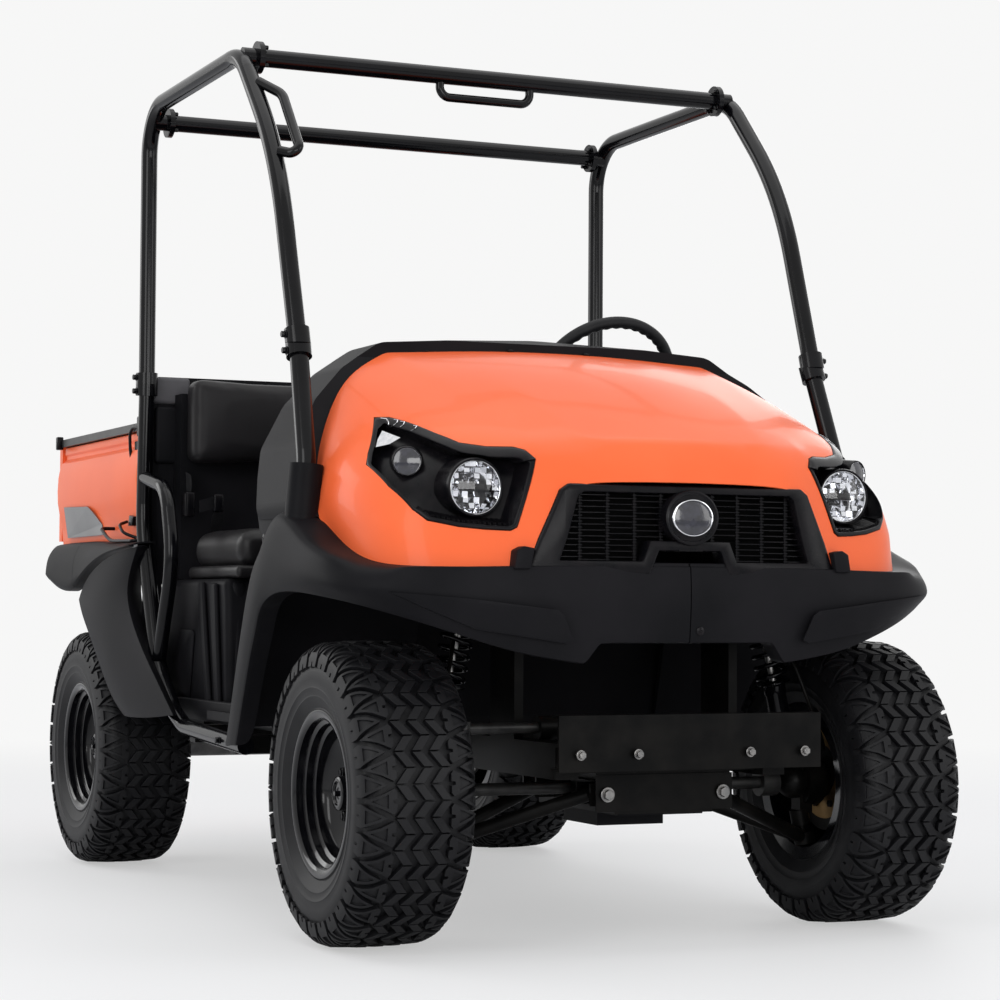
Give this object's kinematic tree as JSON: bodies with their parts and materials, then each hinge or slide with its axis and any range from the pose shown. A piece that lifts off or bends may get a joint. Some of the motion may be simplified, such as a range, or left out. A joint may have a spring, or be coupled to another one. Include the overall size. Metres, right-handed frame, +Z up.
{
  "type": "side by side utility vehicle",
  "caption": "Compact side by side utility vehicle with a roll cage, bench seats, knobbly tyres, steering front wheels and a tipping load bed with a drop-down tailgate.",
  "frame": {"origin": "on the ground, under the middle of the vehicle", "axes": "+X the vehicle's left, -Y its front, +Z up"},
  "size_m": [1.39, 2.652, 1.923],
  "materials": {
    "orange_plastic": "glossy moulded orange",
    "black_plastic": "satin black moulding with a fine grain",
    "black_tube": "gloss black powder coat",
    "black_steel": "satin black paint",
    "black_rim": "gloss black paint",
    "tyre_rubber": "rubber",
    "seat_vinyl": "black grained vinyl",
    "clear_lens": "clear lens",
    "red_lens": "red lens",
    "cast_metal": "bare casting",
    "bare_steel": "heat-dulled steel",
    "bed_grey": "textured grey coat",
    "wheel_grip": "soft black grip"
  },
  "bodies": {
    "chassis": {"dash_sides": "black_plastic", "dashboard": "black_plastic", "engine_block": "cast_metal", "floor_and_firewall": "black_plastic", "frame_cross_members": "black_steel", "frame_rails": "black_steel", "front_beam": "black_steel", "front_cross_bar": "black_tube", "front_driveline": "cast_metal", "front_fender_left": "black_plastic", "front_fender_right": "black_plastic", "front_subframe": "black_steel", "grille": "black_plastic", "headlamp_left": "black_plastic", "headlamp_lenses": "clear_lens", "headlamp_right": "black_plastic", "hood": "orange_plastic", "leaf_springs": "black_steel", "lower_arms": "black_steel", "lower_posts": "black_tube", "muffler": "bare_steel", "pillar_boots": "black_plastic", "rear_axle": "cast_metal", "rear_bumper": "black_steel", "rear_cross_bar": "black_tube", "rear_fenders": "black_plastic", "rear_panel": "black_plastic", "roll_hoop_left": "black_tube", "roll_hoop_right": "black_tube", "seat_back_left": "seat_vinyl", "seat_back_right": "seat_vinyl", "seat_base": "black_plastic", "seat_cushion_left": "seat_vinyl", "seat_cushion_right": "seat_vinyl", "skid_plate": "black_plastic", "steering_column": "black_plastic", "steering_rack_housing": "black_steel", "strut_towers": "black_steel", "tail_lamps": "red_lens"},
    "steering_wheel": {"steering_wheel": "wheel_grip"},
    "rack": {"tie_rods": "black_steel"},
    "knuckle_left": {"knuckle_left": "black_steel", "strut_left": "black_steel"},
    "knuckle_right": {"knuckle_right": "black_steel", "strut_right": "black_steel"},
    "front_wheel_left": {"front_rim_left": "black_rim", "front_tyre_left": "tyre_rubber"},
    "front_wheel_right": {"front_rim_right": "black_rim", "front_tyre_right": "tyre_rubber"},
    "rear_wheel_left": {"rear_rim_left": "black_rim", "rear_tyre_left": "tyre_rubber"},
    "rear_wheel_right": {"rear_rim_right": "black_rim", "rear_tyre_right": "tyre_rubber"},
    "bed": {"bed_floor": "bed_grey", "bed_front": "orange_plastic", "bed_sides": "orange_plastic", "bed_rails": "black_plastic", "bed_flares": "black_plastic"},
    "tailgate": {"tailgate": "orange_plastic"}
  },
  "joints": [
    {"name": "steering_wheel_turn", "type": "hinge", "parent": "chassis", "child": "steering_wheel", "pos_m": [0.26, -0.4, 1.19], "axis": [0, 0.8192, 0.5736], "range_deg": [-540, 540]},
    {"name": "knuckle_left_steer", "type": "hinge", "parent": "chassis", "child": "knuckle_left", "pos_m": [0.45, -0.985, 0.19], "axis": [-0.2218, 0, 0.9751], "range_deg": [-28.5, 28.5]},
    {"name": "knuckle_right_steer", "type": "hinge", "parent": "chassis", "child": "knuckle_right", "pos_m": [-0.45, -0.985, 0.19], "axis": [0.2218, 0, 0.9751], "range_deg": [-28.5, 28.5]},
    {"name": "rack_slide", "type": "slide", "parent": "chassis", "child": "rack", "axis": [1, 0, 0], "range_m": [-0.045, 0.045]},
    {"name": "front_wheel_left_spin", "type": "hinge", "parent": "knuckle_left", "child": "front_wheel_left", "pos_m": [0.545, -0.985, 0.301], "axis": [1, 0, 0], "continuous": true},
    {"name": "front_wheel_right_spin", "type": "hinge", "parent": "knuckle_right", "child": "front_wheel_right", "pos_m": [-0.545, -0.985, 0.301], "axis": [1, 0, 0], "continuous": true},
    {"name": "rear_wheel_left_spin", "type": "hinge", "parent": "chassis", "child": "rear_wheel_left", "pos_m": [0.553, 0.815, 0.301], "axis": [1, 0, 0], "continuous": true},
    {"name": "rear_wheel_right_spin", "type": "hinge", "parent": "chassis", "child": "rear_wheel_right", "pos_m": [-0.553, 0.815, 0.301], "axis": [1, 0, 0], "continuous": true},
    {"name": "bed_tilt", "type": "hinge", "parent": "chassis", "child": "bed", "pos_m": [0, 1.15, 0.77], "axis": [-1, 0, 0], "range_deg": [0, 40]},
    {"name": "tailgate_drop", "type": "hinge", "parent": "bed", "child": "tailgate", "pos_m": [0, 1.262, 0.822], "axis": [-1, 0, 0], "range_deg": [0, 90]}
  ],
  "couplings": [
    {"joint": "knuckle_left_steer", "follows": "steering_wheel_turn", "ratio": 0.051852},
    {"joint": "knuckle_right_steer", "follows": "steering_wheel_turn", "ratio": 0.051852},
    {"joint": "rack_slide", "follows": "steering_wheel_turn", "m_per_rad": 0.00452}
  ]
}
